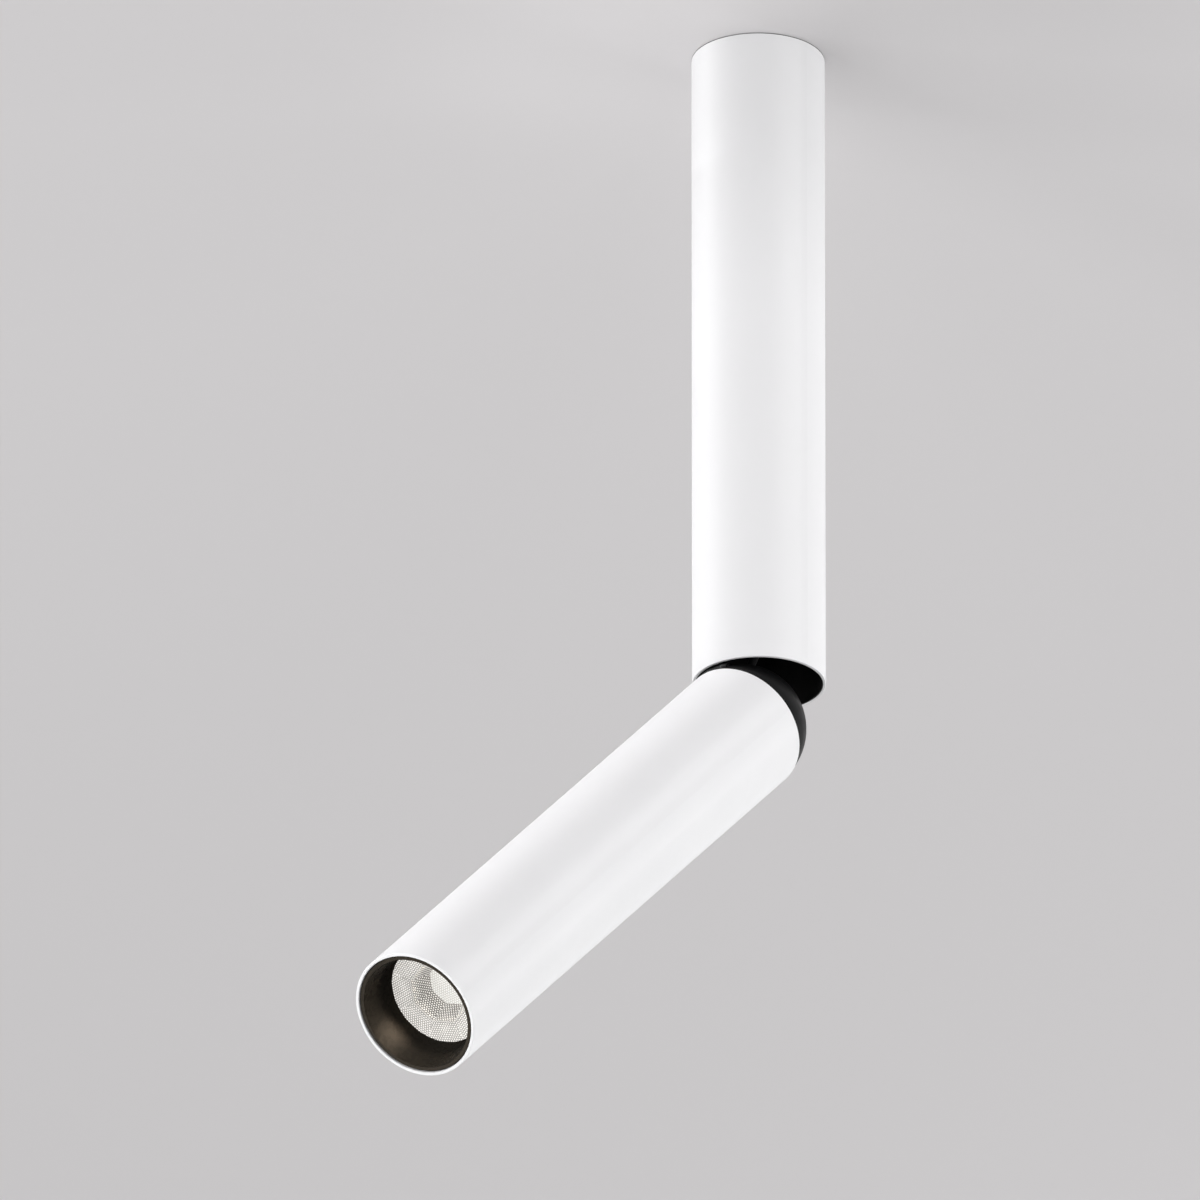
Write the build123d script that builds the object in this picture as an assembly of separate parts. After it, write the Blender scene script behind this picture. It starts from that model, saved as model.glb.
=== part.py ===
from build123d import *
import math
import os

# A ceiling spotlight: a tube that stands straight down from the ceiling, and a second tube of
# the same diameter that leans and turns under it. Millimetres, +Z up. The origin is the centre
# of the face that lies on the ceiling, and the lamp head leans towards -Y. Each head piece is
# drawn hanging straight down under its own rim, and is then leaned about the hinge pin.

# Both tubes
tube_d = 60.0            # outside diameter
tube_wall = 1.5
upper_length = 310.0     # ceiling to the upper tube's lower rim
head_length = 300.0      # rim to rim
ceiling_gap = 0.4        # shadow line between the ceiling and the upper tube
fit_gap = 0.2            # between pieces that slide into each other and stay
pin_gap = 0.05           # between a pin or screw and the hole that holds it
run_gap = 0.5            # between a turning piece and the tube round it

# Hinge between the two tubes
rest_lean = 45.0         # lean of the head as it is drawn, in degrees
knuckle_r = 2.6
rim_gap = 0.5            # knuckle to the upper tube's rim
edge_gap = 0.4           # knuckle to the outside line of the tubes
notch_gap = 0.5          # knuckle to the bottom of the dome's notch
sill = 2.4               # height of the dome's wall under the notch
pin_r = 1.4
pin_run = 0.06           # running gap between the pin and the arm
arm_half_w = 3.8         # half of the arm's width at the pin
arm_t = 2.5
arm_foot_half_w = 8.0
arm_foot_reach = 15.5    # length of the foot along the disc
arm_shoulder = 7.0       # height of the wide part of the arm under its foot
hinge_washer_t = 0.4
face_gap = 0.05          # between faces that slide on each other
ear_t = 3.0

# Black dome on the head
dome_room = 0.5          # dome to the upper tube's bore when the head hangs straight
dome_wall = 2.5
seam = 0.4               # shadow groove between the dome and the head tube
spigot_wall = 2.0
spigot_depth = 12.0
lead_entry = 17.0        # the lead's hole in the dome, from the head's axis
grommet_lip = 1.3        # how far the dome grommet's lips reach past its hole
grommet_lip_t = 0.9
grommet_play = 0.3           # from the dome's curved inside to the inner lip
inner_lip_inset = 0.5        # how much smaller the inner lip is
dome_hole_r = 3.0

# Turning joint in the lower end of the upper tube
lead_room = 5.3          # disc to the dome's top when the head hangs straight
disc_t = 4.0
friction_washer_r = 24.0
friction_washer_t = 0.6
flange_t = 10.0
shaft_r = 5.0
shaft_bore_r = 3.0
shaft_run = 0.08         # running gap between the shaft and the flange
shaft_head_r = 8.0
shaft_head_t = 2.0
shaft_end = 2.0          # thread that stands out of the nut
slide_washer_r = 9.0
slide_washer_t = 0.8
stop_washer_r = 10.0
stop_washer_t = 1.5
stop_tab_half_w = 1.25
stop_tab_end = 1.8       # tab's reach past the stop pin's centre
stop_circle_r = 17.0
stop_pin_r = 1.25
stop_pin_seat = 5.0
spring_t = 0.8
spring_rise = 0.5
spring_r = 8.5
nut_across = 14.0
nut_t = 5.0

# Ceiling plate
plate_t = 2.5
skirt_depth = 14.0
skirt_wall = 2.0
ceiling_hole_r = 2.25
ceiling_hole_inset = 7.3     # from the plate's edge to the hole's centre
entry_r = 6.0                # hole for the cable grommet
cable_bore_r = 3.5           # bore for the supply cable
entry_lip = 1.8
entry_lip_t = 2.0
entry_sleeve = 4.5
earth_x = 10.0
earth_inset = 9.3            # from the skirt's inside to the screw's centre
earth_screw_r = 2.0
earth_head_r = 3.6
eyelet_r = 4.0
eyelet_t = 0.8
barrel_r = 1.2
barrel_length = 4.0

# Set screws that hold the tubes
set_screw_r = 2.0
set_screw_length = 6.5
socket_across = 2.0
socket_depth = 2.0
set_screw_sink = 0.2         # below the tube's outside
tube_screw_angles = [90.0, 180.0]
head_screw_angles = [145.0, 215.0]

# Small machine screws
screw_r = 1.5
screw_head_r = 2.7
screw_head_t = 1.9

# Driver bracket and what it carries
bracket_t = 1.5
bracket_half_w = 14.0
bracket_y = 8.0              # front face
foot_screw_x = 9.0
foot_screw_y = 5.5           # from the bracket's back to the screw
wall_room = 0.6              # from the foot's corners to the plate's skirt
clamp_top = 12.5             # below the ceiling
clamp_height = 10.0
clamp_half_w = 8.0
clamp_front = 5.5
clamp_screw_x = 5.9
clamp_bore_r = 3.7
block_top = 27.0
block_height = 18.0
block_half_w = 14.5
block_front = 6.0
pole_pitch = 10.0
pole_y = 1.0
pole_r = 1.7
clamp_screw_inset = 4.5      # terminal screws from the block's ends
terminal_screw_r = 1.5
core_r = 0.9
driver_top = 58.0
driver_length = 105.0
driver_half_w = 15.0
driver_depth = 22.0
driver_wall = 1.4
board_t = 1.6
tab_length = 8.0
tab_t = 2.0
tab_width = 10.0
lead_y = -3.0                # the driver's leads
live_x = -6.0
driver_terminal_height = 8.0
driver_terminal_depth = 9.0
terminal_margin = 3.0        # the mains terminal's ends past its leads
output_terminal_half_w = 4.0
transformer_size = (20.0, 14.0, 20.0)
choke_r = 7.0
choke_tube_r = 2.4
capacitor_r = 4.5
capacitor_length = 16.0
capacitor_count = 2
capacitor_gap = 1.0
sheath_r = 2.0
plug_half_w = 4.5
plug_length = 9.0
plug_nose_r = 3.0
plug_nose = 5.0
socket_half_w = 5.5
socket_length = 12.0

# Light engine, by depth from the head's aperture
baffle_recess = 0.8
baffle_depth = 21.4
baffle_lip = 1.9             # width of the flat front face round the cone
baffle_edge = 0.4            # chamfer outside the front face
baffle_rear_wall = 3.7       # round the lens
lens_ledge = 1.0             # the baffle's ledge over the lens's edge
lens_flange_t = 2.2
lens_length = 21.6
lens_flange_reach = 1.6      # flange past the lens's cone
lens_cone_end_r = 13.0
recess_sides = 8
recess_r = 14.6              # centre to corner, at the mouth of the lens's recess
recess_floor_r = 10.8
recess_depth = 11.0
lens_pocket_r = 8.6
lens_pocket_depth = 4.0
gasket_t = 0.6
gasket_width = 1.4
holder_wall = 1.8
holder_foot_t = 2.0
led_holder_r = 21.0
led_holder_t = 3.0
led_window_r = 8.0
led_board_side = 19.0
led_board_t = 1.2
led_r = 7.2
led_t = 0.5
pad_t = 0.3
holder_screw_x = 17.5
sink_base_t = 8.0
sink_length = 78.0
sink_core_r = 9.0
fin_count = 12
fin_t = 1.6
fin_gap = 1.0                # fins to the tube's bore
core_lead_r = 0.75
core_lead_x = 1.0
o_ring_r = 0.7
o_ring_depth = 12.0
sink_lead_y = -17.5

# Sizes that follow from those above
tube_r = tube_d / 2
bore_r = tube_r - tube_wall
seat_r = bore_r - fit_gap
turn_r = bore_r - run_gap
pin_y = -(tube_r - edge_gap - knuckle_r)
pin_drop = rim_gap + knuckle_r
pin_rise = sill + notch_gap + knuckle_r
tube_gap = pin_drop + pin_rise
pin_z = -(upper_length + pin_drop)
head_z = -(upper_length + tube_gap)
dome_r = math.hypot(bore_r - dome_room, tube_gap)
washer_start = arm_half_w + face_gap
ear_start = washer_start + hinge_washer_t + face_gap
ear_end = ear_start + ear_t
arm_back = math.sqrt(turn_r ** 2 - arm_half_w ** 2) - face_gap
disc_z = head_z + dome_r + lead_room
flange_z = disc_z + disc_t + friction_washer_t + face_gap
flange_top = flange_z + flange_t
stop_z = flange_top + face_gap + slide_washer_t
spring_z = stop_z + stop_washer_t
nut_z = spring_z + spring_t + spring_rise
shaft_top = nut_z + nut_t + shaft_end
ceiling_hole_x = seat_r - ceiling_hole_inset
skirt_r = seat_r - skirt_wall
earth_y = earth_inset - skirt_r
tube_screw_z = -(plate_t + skirt_depth / 2)
flange_screw_z = flange_z + flange_t / 2
bracket_back = bracket_y + bracket_t
bracket_end = driver_top + driver_length + tab_length + bracket_t
driver_front = bracket_y - driver_depth
driver_bottom = -(driver_top + driver_length)
free_length = driver_bottom - shaft_top
plug_z = driver_bottom - free_length / 2 + plug_length
socket_z = plug_z - plug_length
lead_break = (socket_z - socket_length + shaft_top) / 2
lens_r = seat_r - baffle_rear_wall - fit_gap
lens_cone_top_r = lens_r - lens_flange_reach
lens_z = -(head_length - baffle_depth)
gasket_z = lens_z + lens_flange_t
optic_end = lens_z + lens_length
sink_z = optic_end + holder_foot_t + led_holder_t
holder_foot_r = holder_screw_x - screw_head_r - fit_gap
entry_tilt = math.atan2(lead_entry, math.sqrt(dome_r ** 2 - lead_entry ** 2))


# Shapes that repeat

def disc(radius, height, z=0.0):
    """A round plate whose lower face is at z."""
    return Pos(0, 0, z + height / 2) * Cylinder(radius, height)


def ring(outer_r, inner_r, height, z=0.0):
    """A flat ring whose lower face is at z."""
    return disc(outer_r, height, z) - disc(inner_r, height, z)


def block(x, y, z):
    """A box between two limits on each axis."""
    size = [high - low for low, high in (x, y, z)]
    middle = [(high + low) / 2 for low, high in (x, y, z)]
    return Pos(*middle) * Box(*size)


def turned(points):
    """A piece turned about Z, from the (radius, z) points of its outline."""
    outline = Plane.XZ * make_face(Polyline(*points, close=True))
    return revolve(outline, Axis.Z)


def rod(start, end, radius):
    """A round bar between two points."""
    along = Vector(*end) - Vector(*start)
    return extrude(Plane(origin=start, z_dir=along) * Circle(radius), along.length)


def tubed(points, radius):
    """A round lead on straight runs joined by tangent arcs."""
    bends = []
    for before, corner, after in zip(points, points[1:], points[2:]):
        run_in = Vector(*corner) - Vector(*before)
        run_out = Vector(*after) - Vector(*corner)
        half_turn = math.radians(run_in.get_angle(run_out)) / 2
        bends.append(0.45 * min(run_in.length, run_out.length) / math.tan(half_turn))
    path = FilletPolyline(*points, radius=bends)
    return sweep(Plane(origin=path @ 0, z_dir=path % 0) * Circle(radius), path)


def group(*pieces):
    """Separate solids that share one node."""
    return Compound([solid for piece in pieces for solid in piece.solids()])


def leaned(piece):
    """Puts a head piece, drawn under its own rim, at its place and lean."""
    hinge = Axis((0, pin_y, pin_z), (1, 0, 0))
    return (Pos(0, 0, head_z) * piece).rotate(hinge, -rest_lean)


def leaned_point(y, z):
    """Where leaned() takes a point of the head's middle plane."""
    lean = math.radians(rest_lean)
    off_y = y - pin_y
    off_z = head_z + z - pin_z
    return (
        0,
        pin_y + off_y * math.cos(lean) + off_z * math.sin(lean),
        pin_z - off_y * math.sin(lean) + off_z * math.cos(lean),
    )


def machine_screw(length):
    """A pan-head screw along Z: its head is above z = 0 and its shank below."""
    head = disc(screw_head_r, screw_head_t) - extrude(
        Pos(0, 0, screw_head_t) * RegularPolygon(socket_across / 2, 6, major_radius=False),
        -screw_head_t / 2,
    )
    head = fillet(head.edges().filter_by(GeomType.CIRCLE).sort_by(Axis.Z)[-1], screw_head_t / 3)
    return head + disc(screw_r, length, -length)


def radial(angle, radius, z):
    """A plane at a radius, facing out of the tube."""
    out = (math.cos(math.radians(angle)), math.sin(math.radians(angle)), 0)
    return Plane(origin=(radius * out[0], radius * out[1], z), z_dir=out)


def set_screws(angles, z):
    """Socket set screws, just under the tube's outside."""
    screw = disc(set_screw_r, set_screw_length, -set_screw_length)
    key = extrude(RegularPolygon(socket_across / 2, 6, major_radius=False), -socket_depth)
    tip = screw.edges().filter_by(GeomType.CIRCLE).sort_by(Axis.Z)[0]
    screw = chamfer(tip, set_screw_r / 4) - key
    return group(*[radial(angle, tube_r - set_screw_sink, z) * screw for angle in angles])


def set_screw_holes(angles, z):
    """The threaded holes that the set screws sit in."""
    depth = set_screw_sink + set_screw_length + pin_gap
    hole = disc(set_screw_r + pin_gap, depth + tube_wall, -depth)
    return group(*[radial(angle, tube_r, z) * hole for angle in angles])


# Pieces that stay on the ceiling

def ceiling_plate():
    """The steel cup that is screwed to the ceiling."""
    plate = disc(seat_r, plate_t, -plate_t)
    plate += ring(seat_r, skirt_r, skirt_depth, -plate_t - skirt_depth)
    plate -= disc(entry_r, plate_t, -plate_t)
    for side in (-1, 1):
        plate -= Pos(side * ceiling_hole_x, 0, 0) * disc(ceiling_hole_r, plate_t, -plate_t)
        hole = disc(screw_r + pin_gap, plate_t, -plate_t)
        plate -= Pos(side * foot_screw_x, bracket_back + foot_screw_y, 0) * hole
    plate -= Pos(earth_x, earth_y, 0) * disc(earth_screw_r + pin_gap, plate_t, -plate_t)
    return plate - set_screw_holes(tube_screw_angles, tube_screw_z)


def cable_grommet():
    """The rubber bush that the supply cable comes in through."""
    neck_r = entry_r - pin_gap
    lip_z = -plate_t - entry_lip_t
    end_z = lip_z - entry_sleeve
    end_r = (neck_r + cable_bore_r) / 2
    return turned([
        (cable_bore_r, 0),
        (neck_r, 0),
        (neck_r, -plate_t),
        (entry_r + entry_lip, -plate_t),
        (entry_r + entry_lip, lip_z),
        (neck_r, lip_z),
        (end_r, end_z),
        (cable_bore_r, end_z),
    ])


def upper_tube():
    """The white tube under the ceiling."""
    tube = ring(tube_r, bore_r, upper_length - ceiling_gap, -upper_length)
    rim = tube.edges().filter_by(GeomType.CIRCLE).group_by(Axis.Z)[0]
    tube = chamfer(rim, tube_wall / 6)
    tube -= set_screw_holes(tube_screw_angles, tube_screw_z)
    return tube - set_screw_holes(tube_screw_angles, flange_screw_z)


def driver_bracket():
    """The folded steel strip that hangs from the plate and carries the electrics."""
    top = -plate_t
    foot_end = math.sqrt((skirt_r - wall_room) ** 2 - bracket_half_w ** 2)
    width = (-bracket_half_w, bracket_half_w)
    strip = block(width, (bracket_y, bracket_back), (-bracket_end, top))
    strip += block(width, (bracket_back, foot_end), (top - bracket_t, top))
    for side in (-1, 1):
        hole = disc(screw_r + pin_gap, bracket_t, top - bracket_t)
        strip -= Pos(side * foot_screw_x, bracket_back + foot_screw_y, 0) * hole
    for x, z in back_screws():
        hole = rod((x, bracket_y, z), (x, bracket_back, z), screw_r + pin_gap)
        strip -= hole
    return strip


def bracket_screws():
    """Two screws that hold the bracket's foot to the plate."""
    screw = Rot(180, 0, 0) * machine_screw(bracket_t + plate_t - ceiling_gap)
    places = [(side * foot_screw_x, bracket_back + foot_screw_y) for side in (-1, 1)]
    return group(*[Pos(x, y, -plate_t - bracket_t) * screw for x, y in places])


def clamp_screw_places():
    """Where the cord clamp's screws go through the bracket."""
    z = -clamp_top - clamp_height / 2
    return [(-clamp_screw_x, z), (clamp_screw_x, z)]


def block_screw_place():
    """Where the terminal block's screw goes through the bracket."""
    return (pole_pitch / 2, -block_top - block_height / 2)


def driver_screw_places():
    """Where the driver's two tabs are screwed on."""
    x = driver_half_w - tab_width / 2
    return [(x, -driver_top + tab_length / 2), (x, driver_bottom - tab_length / 2)]


def back_screws():
    """All the screws that go into the bracket from the front."""
    return clamp_screw_places() + [block_screw_place()] + driver_screw_places()


def front_screw(x, front, z):
    """A screw from the front, through a piece and the bracket."""
    screw = machine_screw(bracket_back - front)
    return Plane(origin=(x, front, z), z_dir=(0, -1, 0)) * screw


def front_hole(x, front, z):
    """The hole for a screw from the front."""
    return rod((x, front, z), (x, bracket_y, z), screw_r + pin_gap)


def cord_clamp():
    """The saddle that would grip the supply cable."""
    height = (-clamp_top - clamp_height, -clamp_top)
    saddle = block((-clamp_half_w, clamp_half_w), (-clamp_front, bracket_y), height)
    saddle = fillet(saddle.edges().filter_by(Axis.Z).sort_by(Axis.Y)[:2], clamp_front / 4)
    saddle -= disc(clamp_bore_r, clamp_height, height[0])
    for x, z in clamp_screw_places():
        saddle -= front_hole(x, -clamp_front, z)
    return saddle


def cord_clamp_screws():
    """Two screws through the cord clamp."""
    return group(*[front_screw(x, -clamp_front, z) for x, z in clamp_screw_places()])


def terminal_places():
    """The terminal screws: one at each end of each pole."""
    heights = [-block_top - clamp_screw_inset, -block_top - block_height + clamp_screw_inset]
    return [(pole * pole_pitch, z) for pole in (-1, 0, 1) for z in heights]


def terminal_block():
    """The three-pole block where the supply is joined on."""
    height = (-block_top - block_height, -block_top)
    body = block((-block_half_w, block_half_w), (-block_front, bracket_y), height)
    for pole in (-1, 0, 1):
        body -= Pos(pole * pole_pitch, pole_y, 0) * disc(pole_r, block_height, height[0])
    for x, z in terminal_places():
        body -= rod((x, -block_front, z), (x, pole_y, z), terminal_screw_r + pin_gap)
    x, z = block_screw_place()
    return body - front_hole(x, -block_front, z)


def terminal_screws():
    """The six slotted screws of the terminal block."""
    screws = []
    for x, z in terminal_places():
        head = -block_front + pin_gap
        tip = pole_y - core_r - pin_gap
        screw = rod((x, head, z), (x, tip, z), terminal_screw_r)
        slot_half_w = terminal_screw_r / 5
        slot = block(
            (x - terminal_screw_r, x + terminal_screw_r),
            (head, head + terminal_screw_r / 2),
            (z - slot_half_w, z + slot_half_w),
        )
        screws.append(screw - slot)
    return group(*screws)


def terminal_block_screw():
    """The screw that holds the terminal block."""
    x, z = block_screw_place()
    return front_screw(x, -block_front, z)


def earth_screw():
    """The brass screw that clamps the earth lead's eyelet under the plate."""
    head_t = earth_screw_r
    head_z = -plate_t - eyelet_t
    head = disc(earth_head_r, head_t, head_z - head_t)
    slot_half_w = earth_screw_r / 6
    head -= block((-eyelet_r, eyelet_r), (-slot_half_w, slot_half_w),
                  (head_z - head_t, head_z - head_t / 2))
    shank = disc(earth_screw_r, plate_t + eyelet_t - ceiling_gap, head_z)
    return Pos(earth_x, earth_y, 0) * (head + shank)


def earth_lead():
    """The eyelet, and the lead from it to the last pole of the terminal block."""
    eyelet = Pos(earth_x, earth_y, 0) * ring(
        eyelet_r, earth_screw_r + pin_gap, eyelet_t, -plate_t - eyelet_t)
    barrel_z = -plate_t - barrel_r - pin_gap
    start_y = earth_y + earth_head_r + pin_gap
    end_y = start_y + barrel_length
    eyelet += rod((earth_x, start_y, barrel_z), (earth_x, end_y, barrel_z), barrel_r)
    wire = tubed([
        (earth_x, end_y, barrel_z),
        (earth_x, pole_y, barrel_z),
        (earth_x, pole_y, -block_top - clamp_screw_inset),
    ], core_r)
    return group(eyelet, wire)


def mains_leads():
    """The live and neutral leads from the terminal block to the driver."""
    leads = []
    top = -block_top - block_height + clamp_screw_inset
    upper_bend = -block_top - block_height - (driver_top - block_top - block_height) / 3
    lower_bend = -driver_top + (driver_top - block_top - block_height) / 3
    end = -driver_top - driver_wall - face_gap
    for x_in, x_out in ((-pole_pitch, live_x), (0, 0)):
        leads.append(tubed([
            (x_in, pole_y, top),
            (x_in, pole_y, upper_bend),
            (x_out, lead_y, lower_bend),
            (x_out, lead_y, end),
        ], core_r))
    return group(*leads)


def driver_case():
    """The tray of the driver, with its two fixing tabs."""
    height = (driver_bottom, -driver_top)
    width = (-driver_half_w, driver_half_w)
    case = block(width, (driver_front, bracket_y), height)
    case = fillet(case.edges().filter_by(Axis.Z), driver_wall)
    case -= block(
        (width[0] + driver_wall, width[1] - driver_wall),
        (driver_front, bracket_y - driver_wall),
        (height[0] + driver_wall, height[1] - driver_wall),
    )
    for x, z in driver_screw_places():
        tab = block((driver_half_w - tab_width, driver_half_w),
                    (bracket_y - tab_t, bracket_y),
                    (z - tab_length / 2, z + tab_length / 2))
        case += tab
    for x, z in driver_screw_places():
        case -= front_hole(x, bracket_y - tab_t, z)
    for x in (live_x, 0):
        case -= Pos(x, lead_y, 0) * disc(core_r + pin_gap, driver_wall, height[1] - driver_wall)
    return case - Pos(0, lead_y, 0) * disc(sheath_r + pin_gap, driver_wall, height[0])


def driver_cover():
    """The lid that snaps into the driver's tray."""
    inset = driver_wall + pin_gap
    return block(
        (-driver_half_w + inset, driver_half_w - inset),
        (driver_front, driver_front + driver_wall),
        (driver_bottom + inset, -driver_top - inset),
    )


def driver_board():
    """The circuit board on the tray's back."""
    inset = driver_wall + 2 * pin_gap
    back = bracket_y - driver_wall
    return block(
        (-driver_half_w + inset, driver_half_w - inset),
        (back - board_t, back),
        (driver_bottom + inset, -driver_top - inset),
    )


def driver_components():
    """Two terminals, a transformer, a choke and capacitors on the board."""
    face = bracket_y - driver_wall - board_t
    top = -driver_top - driver_wall - 2 * face_gap
    bottom = driver_bottom + driver_wall + 2 * face_gap
    depth = (face - driver_terminal_depth, face)
    mains = block((live_x - terminal_margin, terminal_margin), depth,
                  (top - driver_terminal_height, top))
    output = block((-output_terminal_half_w, output_terminal_half_w), depth,
                   (bottom, bottom + driver_terminal_height))
    width, deep, height = transformer_size
    middle = (top + bottom) / 2
    core = block((-width / 2, width / 2), (face - deep, face),
                 (middle - height / 2, middle + height / 2))
    core = chamfer(core.edges().filter_by(Axis.Y), width / 12)
    above = (top - driver_terminal_height + middle + height / 2) / 2
    choke = Plane(origin=(0, face - choke_tube_r, above), z_dir=(0, 1, 0)) * Torus(
        choke_r - choke_tube_r, choke_tube_r)
    below = (bottom + driver_terminal_height + middle - height / 2) / 2
    pitch = 2 * capacitor_r + capacitor_gap
    first = -pitch * (capacitor_count - 1) / 2
    cans = []
    for number in range(capacitor_count):
        x = first + number * pitch
        can = Pos(x, face - capacitor_r, below) * Cylinder(capacitor_r, capacitor_length)
        cans.append(chamfer(can.edges().filter_by(GeomType.CIRCLE), capacitor_r / 8))
    return group(mains, output, core, choke, *cans)


def driver_screws():
    """Two screws through the driver's tabs."""
    front = bracket_y - tab_t
    return group(*[front_screw(x, front, z) for x, z in driver_screw_places()])


def output_lead():
    """The sheathed lead from the driver down to its plug."""
    run = driver_bottom - plug_z
    return tubed([
        (0, lead_y, driver_bottom + driver_wall + face_gap),
        (0, lead_y, driver_bottom - run / 4),
        (0, 0, plug_z + run / 4),
        (0, 0, plug_z),
    ], sheath_r)


def rounded_box(half_w, length, z):
    """A square upright box with rounded edges, its lower face at z."""
    box = block((-half_w, half_w), (-half_w, half_w), (z, z + length))
    return fillet(box.edges().filter_by(Axis.Z), half_w / 4)


def connector_plug():
    """The plug on the driver's lead."""
    return rounded_box(plug_half_w, plug_length, socket_z) + disc(plug_nose_r, plug_nose,
                                                                  socket_z - plug_nose)


def connector_socket():
    """The socket on the lamp head's lead."""
    body = rounded_box(socket_half_w, socket_length, socket_z - socket_length)
    return body - disc(plug_nose_r + pin_gap, plug_nose + pin_gap, socket_z - plug_nose - pin_gap)


def socket_lead():
    """The short lead from the socket to the turning joint."""
    end = lead_break + face_gap
    return disc(sheath_r, socket_z - socket_length - end, end)


def swivel_flange():
    """The fixed plug in the tube's lower end that the joint turns in."""
    flange = ring(seat_r, shaft_r + shaft_run, flange_t, flange_z)
    rims = flange.edges().filter_by(GeomType.CIRCLE).sort_by(SortBy.RADIUS)[-2:]
    flange = chamfer(rims, fit_gap * 2)
    hole = disc(stop_pin_r + pin_gap, stop_pin_seat, flange_top - stop_pin_seat)
    flange -= Pos(0, stop_circle_r, 0) * hole
    return flange - set_screw_holes(tube_screw_angles, flange_screw_z)


def stop_pin():
    """The pin that ends the head's turn."""
    height = spring_z - flange_top + stop_pin_seat
    return Pos(0, stop_circle_r, 0) * disc(stop_pin_r, height, flange_top - stop_pin_seat)


# Pieces that turn under the flange

def swivel_disc():
    """The black disc that closes the tube and carries the arm."""
    plate = ring(turn_r, shaft_r + pin_gap, disc_t, disc_z)
    for side in (-1, 1):
        x, y = arm_screw_place(side)
        plate -= Pos(x, y, 0) * disc(screw_r + pin_gap, disc_t - face_gap, disc_z)
    return plate


def friction_washer():
    """The nylon ring between the disc and the flange."""
    return ring(friction_washer_r, shaft_r + shaft_run, friction_washer_t, disc_z + disc_t)


def swivel_shaft():
    """The hollow stud that the lead passes through, with its round head under the disc."""
    shaft = disc(shaft_r, shaft_top - disc_z, disc_z)
    shaft -= key_flat(shaft_r * 2, flange_top + face_gap, shaft_top)
    head = disc(shaft_head_r, shaft_head_t, disc_z - shaft_head_t)
    head = chamfer(head.edges().filter_by(GeomType.CIRCLE).sort_by(Axis.Z)[0], shaft_head_t / 4)
    stud = shaft + head
    return stud - disc(shaft_bore_r, shaft_top - disc_z + shaft_head_t, disc_z - shaft_head_t)


def key_flat(reach, low, high):
    """What the flat on the shaft takes away."""
    flat_x = shaft_r * 0.9
    return block((flat_x, reach), (-reach, reach), (low, high))


def slide_washer():
    """The nylon washer on top of the flange."""
    return ring(slide_washer_r, shaft_r + shaft_run, slide_washer_t, flange_top + face_gap)


def stop_washer():
    """The keyed washer whose tab meets the stop pin."""
    washer = disc(stop_washer_r, stop_washer_t, stop_z)
    tab_end = stop_circle_r + stop_tab_end
    washer += block((-stop_tab_half_w, stop_tab_half_w), (-tab_end, 0),
                    (stop_z, stop_z + stop_washer_t))
    hole = disc(shaft_r + pin_gap, stop_washer_t, stop_z)
    return washer - (hole - Pos(pin_gap, 0, 0) * key_flat(shaft_r * 2, stop_z, spring_z))


def disc_spring():
    """The conical spring washer that keeps the turn stiff."""
    inner_r = shaft_r + shaft_run
    return turned([
        (inner_r, spring_z + spring_rise),
        (spring_r, spring_z),
        (spring_r, spring_z + spring_t),
        (inner_r, spring_z + spring_rise + spring_t),
    ])


def swivel_nut():
    """The nut that holds the joint together."""
    nut = extrude(Pos(0, 0, nut_z) * RegularPolygon(nut_across / 2, 6, major_radius=False), nut_t)
    cone_r = nut_across / 2 / math.cos(math.pi / 6)
    cap = disc(cone_r, nut_t, nut_z)
    rims = cap.edges().filter_by(GeomType.CIRCLE)
    nut = nut & chamfer(rims, (cone_r - nut_across / 2) * 0.9)
    return nut - disc(shaft_r + pin_gap, nut_t, nut_z)


def arm_screw_place(side):
    """Where the arm's foot is screwed to the disc."""
    return side * arm_foot_half_w * 0.58, -arm_back + arm_foot_reach * 0.6


def hinge_arm():
    """The steel arm from the disc down to the hinge pin."""
    back = -arm_back
    foot_z = disc_z - arm_t
    wide = (-arm_foot_half_w, arm_foot_half_w)
    foot = block(wide, (back, back + arm_foot_reach), (foot_z, disc_z))
    foot += block(wide, (back, back + arm_t), (foot_z - arm_shoulder, foot_z))
    leg = block((-arm_half_w, arm_half_w), (back, back + arm_t), (pin_z, foot_z - arm_shoulder))
    arm = (foot + leg) & disc(turn_r - face_gap, disc_z - pin_z, pin_z)
    knuckle = rod((-arm_half_w, pin_y, pin_z), (arm_half_w, pin_y, pin_z), knuckle_r)
    arm += knuckle
    arm -= rod((-arm_half_w, pin_y, pin_z), (arm_half_w, pin_y, pin_z), pin_r + pin_run)
    for side in (-1, 1):
        x, y = arm_screw_place(side)
        arm -= Pos(x, y, foot_z) * countersink(pin_gap)
    return arm


def countersink(gap):
    """A countersunk screw's head and shank, from the face below, with a gap all round."""
    head_r = screw_r * 1.8
    return turned([
        (0, 0),
        (head_r + gap, 0),
        (screw_r + gap, head_r - screw_r),
        (screw_r + gap, arm_t + disc_t * 0.8),
        (0, arm_t + disc_t * 0.8),
    ])


def arm_screws():
    """Two countersunk screws through the arm's foot."""
    key = extrude(RegularPolygon(socket_across / 2, 6, major_radius=False), screw_r * 0.8)
    screw = countersink(0) - key
    places = [arm_screw_place(side) for side in (-1, 1)]
    return group(*[Pos(x, y, disc_z - arm_t) * screw for x, y in places])


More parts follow.
